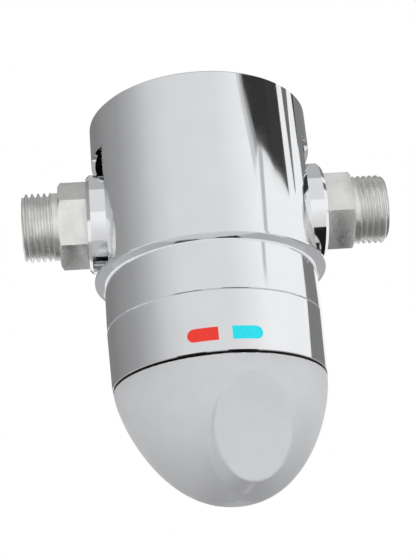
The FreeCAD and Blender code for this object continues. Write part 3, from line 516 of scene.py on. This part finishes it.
# Nickel on blasted brass: every grain glitters, so faces in the light sparkle. The grain is drawn at
# 0.45 mm, coarser than it is, so that it can be seen.
def blasted_nickel():
    return surface("nickel_on_blasted_brass", 1, colours().nickel, 0.86, (0.20, 0.36),
                   6 * MM, 0.45 * MM, 0.085 * MM)


# Brass as the lathe left it: warm, with a fine grain.
def turned_brass():
    return surface("turned_brass", 1, colours().brass, 0.85, (0.22, 0.34), 6 * MM, 0.3 * MM, 0.004 * MM)


# Drawn copper: a soft red sheen with darker patches.
def drawn_copper():
    return surface("drawn_copper", 1, colours().copper, 0.85, (0.28, 0.42), 6 * MM, 0.6 * MM, 0.004 * MM)


# Drawn stainless steel: a cool grey gloss.
def drawn_steel():
    return surface("drawn_stainless_steel", 1, colours().steel, 0.92, (0.20, 0.32),
                   6 * MM, 0.3 * MM, 0.003 * MM)


# Stove enamel pressed flush into the ring: flat colour under a smooth gloss.
def red_enamel():
    return surface("red_enamel", 0, colours().red, 0.96, (0.22, 0.30), 5 * MM, 0.8 * MM, 0.003 * MM)


# The same enamel in the cold mark's colour.
def blue_enamel():
    return surface("blue_enamel", 0, colours().blue, 0.97, (0.22, 0.30), 5 * MM, 0.8 * MM, 0.003 * MM)


# Moulded acetal: a milky white with a dull gloss.
def moulded_acetal():
    return surface("moulded_acetal", 0, colours().acetal, 0.94, (0.38, 0.50), 5 * MM, 0.5 * MM, 0.004 * MM)


# Moulded nitrile rubber: black and dull.
def moulded_rubber():
    return surface("moulded_nitrile_rubber", 0, colours().rubber, 0.8, (0.50, 0.65),
                   5 * MM, 0.3 * MM, 0.006 * MM)


# Pressed vulcanised fibre: dull red-brown with a paper grain.
def pressed_fibre():
    return surface("pressed_fibre", 0, colours().fibre, 0.75, (0.70, 0.85), 5 * MM, 0.25 * MM, 0.02 * MM)


FINISHES = {
    "chrome_brass": cast_chrome, "chrome_cover": tube_chrome, "satin_knob": satin_chrome,
    "blasted_brass": blasted_nickel, "bare_brass": turned_brass, "copper_capsule": drawn_copper,
    "stainless": drawn_steel, "red_paint": red_enamel, "blue_paint": blue_enamel,
    "acetal": moulded_acetal, "seal_rubber": moulded_rubber, "fibre_washer": pressed_fibre,
}


# ---------------------------------------------------------------- operators

class VALVE_OT_castings(bpy.types.Operator):
    """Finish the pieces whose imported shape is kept: casting, covers, marks and all inner parts"""
    bl_idname = "valve.castings"
    bl_label = "Finish kept parts"

    def execute(self, context):
        for name, part in NODES.items():
            only(part)
            bpy.ops.object.shade_smooth()
            weld = part.modifiers.new("weld", "WELD")
            weld.merge_threshold = 0.001 * MM
            crease = part.modifiers.new("crease", "EDGE_SPLIT")
            crease.split_angle = math.radians(28)
            part.data.materials.clear()
            part.data.materials.append(ring_chrome() if name == "index_ring" else FINISHES[SLOTS[name]]())
        return {"FINISHED"}


class VALVE_OT_nipples(bpy.types.Operator):
    """Model the two inlet nipples with their hexagons and pipe threads"""
    bl_idname = "valve.nipples"
    bl_label = "Inlet nipples"

    def execute(self, context):
        for side in ("hot", "cold"):
            finish(nipple(side, context.scene.valve_inlets), side + "_inlet_nipple")
        return {"FINISHED"}


class VALVE_OT_knob(bpy.types.Operator):
    """Model the temperature knob with its raised thumb pad"""
    bl_idname = "valve.knob"
    bl_label = "Temperature knob"

    def execute(self, context):
        sizes = context.scene.valve_knob
        place = Matrix.Translation((0, 0, -sizes.pad_drop))
        place @= Matrix.Rotation(math.pi / 2 + sizes.pad_tilt, 4, "X")
        body = knob_dome(sizes)
        combine(body, moved(thumb_pad(sizes), place), "UNION")
        combine(body, moved(thumb_dish(sizes), place), "DIFFERENCE")
        skin = body.modifiers.new("skin", "REMESH")
        skin.mode = "VOXEL"
        skin.voxel_size = sizes.grain
        soften = body.modifiers.new("soften", "SMOOTH")
        soften.iterations = sizes.rounding
        only(body)
        bpy.ops.object.modifier_apply(modifier=skin.name)
        bpy.ops.object.modifier_apply(modifier=soften.name)
        edit(body)
        bpy.ops.mesh.bisect(plane_co=(0, 0, 0), plane_no=(0, 0, 1), use_fill=True, clear_outer=True)
        leave_edit()
        top = MM      # both cuts run past the rim
        hub, inside, shoulder, foot, floor = 10.0 * MM, 24 * MM, -8 * MM, 14 * MM, -19 * MM
        combine(body, turned("hollow", [
            (hub, top), (inside, top), (inside, shoulder), (foot, floor), (hub, floor),
        ]), "DIFFERENCE")
        bore, bore_end, hub_face, past_hub = 4.85 * MM, -15.7 * MM, -3.3 * MM, hub + 0.1 * MM
        combine(body, turned("hub_bore", [
            (0, bore_end), (bore, bore_end), (bore, hub_face), (past_hub, hub_face), (past_hub, top),
            (0, top),
        ]), "DIFFERENCE")
        combine(body, screw_hole(sizes), "DIFFERENCE")
        rim = Matrix.Translation((0, 0, KNOB_LOW.z + sizes.height))
        moved(body, rim @ Matrix.Rotation(sizes.turn, 4, "Z"))
        finish(body, "knob", math.radians(40))
        return {"FINISHED"}


class VALVE_OT_stage(bpy.types.Operator):
    """Set the paper floor, the light tent with its cards, the world and the camera"""
    bl_idname = "valve.stage"
    bl_label = "Stage"

    def execute(self, context):
        stage = context.scene.valve_stage
        azimuth, elevation, roll = stage.azimuth, stage.elevation, stage.roll
        back = Vector((-math.sin(azimuth) * math.cos(elevation), -math.cos(azimuth) * math.cos(elevation),
                       -math.sin(elevation)))
        right = Vector((math.cos(azimuth), -math.sin(azimuth), 0))
        up = right.cross(-back)
        aim = Vector((0, 0, AXIS_HEIGHT))
        across = math.cos(roll) * right + math.sin(roll) * up
        upright = math.cos(roll) * up - math.sin(roll) * right
        turn = Matrix((across, upright, back)).transposed().to_euler()
        bpy.ops.object.camera_add(location=aim + back * stage.distance, rotation=turn)
        camera = context.object
        camera.data.lens = stage.lens
        camera.data.sensor_width = 36
        camera.data.shift_x, camera.data.shift_y = 0.005, -0.106      # the picture's crop
        camera.data.clip_end = 20
        context.scene.camera = camera

        self.floor(stage)
        self.tent(stage, right, back, aim)
        self.world(context, stage)
        context.scene.view_settings.view_transform = "Standard"
        return {"FINISHED"}

    def floor(self, stage):
        """A wide sheet of white paper, which keeps the valve's shadow."""
        bpy.ops.mesh.primitive_plane_add(size=8, location=(0, 0, -stage.floor_drop))
        floor = named("floor")
        material, tree, shader, _ = blank("white_paper")
        shader.inputs["Base Color"].default_value = (*stage.paper, 1)
        shader.inputs["Roughness"].default_value = 0.9
        floor.data.materials.append(material)

    def glow(self, name, card):
        """Give a card or wall its own even light and hide it from the camera; returns its tree and shader."""
        material = bpy.data.materials.new(name)
        material.use_nodes = True
        tree = material.node_tree
        tree.nodes.clear()
        light = node(tree, "ShaderNodeEmission")
        node(tree, "ShaderNodeOutputMaterial", {"Surface": light.outputs["Emission"]})
        card.data.materials.append(material)
        card.visible_camera = False
        card.visible_shadow = False
        return tree, light

    def card(self, name, stage, right, back, aim, corners, share, strength):
        """A flat card; its corners are (azimuth, elevation) in degrees as seen from the valve, with
        azimuth 0 at the camera and 90 at its right."""
        ahead = Vector((back.x, back.y, 0)).normalized()
        bpy.ops.object.select_all(action="DESELECT")
        bpy.ops.mesh.primitive_plane_add(size=1)
        card = named(name)
        for vertex, (azimuth, elevation) in zip(card.data.vertices, corners):
            a, e = math.radians(azimuth), math.radians(elevation)
            way = (ahead * math.cos(a) + right * math.sin(a)) * math.cos(e) + Vector((0, 0, math.sin(e)))
            vertex.co = aim + way * stage.tent_radius * share
        light = self.glow(name, card)[1]
        light.inputs["Strength"].default_value = strength

    def sheet(self, name, right, back, near, far, height, strength):
        """A level sheet; its corners are given across and towards the camera."""
        ahead = Vector((back.x, back.y, 0)).normalized()
        bpy.ops.object.select_all(action="DESELECT")
        bpy.ops.mesh.primitive_plane_add(size=1)
        sheet = named(name)
        corners = ((near[0], near[1]), (far[0], near[1]), (near[0], far[1]), (far[0], far[1]))
        for vertex, (across, forward) in zip(sheet.data.vertices, corners):
            vertex.co = right * across + ahead * forward + Vector((0, 0, height))
        light = self.glow(name, sheet)[1]
        light.inputs["Strength"].default_value = strength

    def wall(self, stage, aim):
        """The tent's round wall, dimmer towards the left, which shades the barrel from side to side."""
        lowest, highest = 5, 62      # degrees above the inlets' level, seen from the valve
        low, high = (stage.tent_radius * math.tan(math.radians(e)) for e in (lowest, highest))
        bpy.ops.object.select_all(action="DESELECT")
        bpy.ops.mesh.primitive_cylinder_add(vertices=96, radius=stage.tent_radius, depth=high - low,
                                            end_fill_type="NOTHING",
                                            location=(0, 0, aim.z + (low + high) / 2))
        tree, light = self.glow("tent_wall", named("tent_wall"))
        place = node(tree, "ShaderNodeTexCoord").outputs["Object"]
        faced = node(tree, "ShaderNodeMapping", {
            "Vector": place, "Rotation": (0, 0, math.pi / 2 + stage.azimuth),
        })
        round_wall = node(tree, "ShaderNodeTexGradient", {"Vector": faced.outputs["Vector"]},
                          gradient_type="RADIAL")
        ramp = node(tree, "ShaderNodeValToRGB", {"Fac": round_wall.outputs["Fac"]})
        stops = ramp.color_ramp.elements
        for i, (azimuth, level) in enumerate(WALL_LIGHT):
            stop = stops[i] if i < len(stops) else stops.new(0.99)
            stop.position = 0.5 + azimuth / 360
            stop.color = (level, level, level, 1)
        tree.links.new(ramp.outputs["Color"], light.inputs["Color"])

    def tent(self, stage, right, back, aim):
        """The wall, and the cards and sheets whose reflections give the chrome its bands."""
        self.wall(stage, aim)
        for name, corners, share, strength in CARDS:
            self.card(name, stage, right, back, aim, corners, share, strength)
        for name, near, far, height, strength in SHEETS:
            self.sheet(name, right, back, near, far, height, strength)

    def world(self, context, stage):
        """Plain white all round, so that a colour renders about as it is written."""
        world = bpy.data.worlds.new("studio")
        context.scene.world = world
        world.use_nodes = True
        shader = world.node_tree.nodes["Background"]
        shader.inputs["Color"].default_value = (*stage.paper, 1)
        shader.inputs["Strength"].default_value = 1.0


# The wall's light by azimuth in degrees, from the camera round to its right.
WALL_LIGHT = [
    (-180, 0.22), (-135, 0.24), (-110, 0.31), (-90, 0.36), (-68, 0.50), (-50, 0.67), (-30, 0.78), (20, 0.81),
    (38, 0.90), (55, 1.0), (180, 1.0),
]

# Cards round the valve: corners in the order of a plane's points, low left, low right, high left, high
# right, then how far out they stand as a share of the tent's radius, and their light.
CARDS = [
    ("flag_left", ((62, 27.2), (79.5, 25.7), (52, 31), (79.5, 32)), 0.95, 0.035),
    ("flag_right", ((79.5, 25.7), (96.3, 24.2), (79.5, 32), (96.3, 32)), 0.95, 0.045),
    ("high_flag_left", ((52, 31), (79.5, 32), (42, 60), (79.5, 60)), 0.95, 0.035),
    ("high_flag_right", ((79.5, 32), (96.3, 32), (79.5, 60), (96.3, 60)), 0.95, 0.04),
    ("fringe_left", ((55, 25.5), (59, 26.5), (46, 31), (49.5, 31)), 0.95, 0.66),
    ("fringe_right", ((59, 26.5), (62, 27.2), (49.5, 31), (52, 31)), 0.95, 0.34),
    ("high_fringe_left", ((46, 31), (49.5, 31), (36, 60), (39.5, 60)), 0.95, 0.66),
    ("high_fringe_right", ((49.5, 31), (52, 31), (39.5, 60), (42, 60)), 0.95, 0.34),
    ("streak", ((56.5, 19), (60, 19), (62, 27), (66.5, 26.8)), 0.95, 0.55),
    ("thin_flag", ((106, 24.5), (107.6, 24.5), (104, 31.5), (113.5, 31.5)), 0.95, 0.16),
    ("high_thin_flag", ((104, 31.5), (113.5, 31.5), (104, 60), (113.5, 60)), 0.95, 0.16),
    ("edge_line", ((123.5, 27.5), (124.5, 27.5), (122, 33), (128, 33)), 0.93, 0.02),
    ("back_flag_near", ((125, 25), (150, 25), (122, 50), (150, 50)), 0.95, 0.22),
    ("back_flag_far", ((150, 25), (178, 25), (150, 50), (178, 50)), 0.95, 0.25),
    ("low_flag", ((112, 9), (154, 9), (117, 23.5), (143, 23.5)), 0.95, 0.22),
    ("low_flag_core", ((121, 20.2), (139, 20.2), (122, 23.5), (141, 23.5)), 0.93, 0.05),
]
CARDS += [  # a low wall behind the valve, in flat cards of 16 degrees
    ("low_wall", ((start, -36), (start + 16, -36), (start, -14), (start + 16, -14)), 0.55, 0.45)
    for start in range(92, 268, 16)
]

# Level cards: near left and far right corner across and towards the camera, height, and light.
SHEETS = [
    ("under_sheet", (-0.45, 0.215), (0.45, -0.64), -0.40, 0.55),
    ("under_hot_nipple", (-0.17, 0.215), (-0.045, -0.64), -0.395, 0.06),
    ("under_cold_nipple", (0.045, 0.215), (0.17, -0.64), -0.395, 0.01),
    ("over_sheet", (-0.40, 0.30), (0.40, -0.60), 0.55, 0.50),
]


class VALVE_PT_panel(bpy.types.Panel):
    """Steps of the mixing valve"""
    bl_idname = "VALVE_PT_panel"
    bl_label = "Mixing Valve"
    bl_space_type = "VIEW_3D"
    bl_region_type = "UI"
    bl_category = "Mixing Valve"

    def draw(self, context):
        for step in STEPS:
            self.layout.operator(step.bl_idname)
        for name in SETTINGS:
            box = self.layout.box()
            group = getattr(context.scene, name)
            for field in group.bl_rna.properties:
                if field.identifier not in ("rna_type", "name"):
                    box.prop(group, field.identifier)


STEPS = (VALVE_OT_castings, VALVE_OT_nipples, VALVE_OT_knob, VALVE_OT_stage)
SETTINGS = {
    "valve_inlets": InletSizes, "valve_knob": KnobSizes, "valve_finishes": FinishColours,
    "valve_stage": StageSizes,
}


def register():
    for made in (*SETTINGS.values(), *STEPS, VALVE_PT_panel):
        bpy.utils.register_class(made)
    for name, group in SETTINGS.items():
        setattr(bpy.types.Scene, name, PointerProperty(type=group))


def unregister():
    for name in SETTINGS:
        delattr(bpy.types.Scene, name)
    for made in reversed((*SETTINGS.values(), *STEPS, VALVE_PT_panel)):
        bpy.utils.unregister_class(made)


def main():
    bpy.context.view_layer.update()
    register()
    bpy.ops.valve.castings()
    bpy.ops.valve.nipples()
    bpy.ops.valve.knob()
    bpy.ops.valve.stage()


if __name__ == "__main__":
    main()
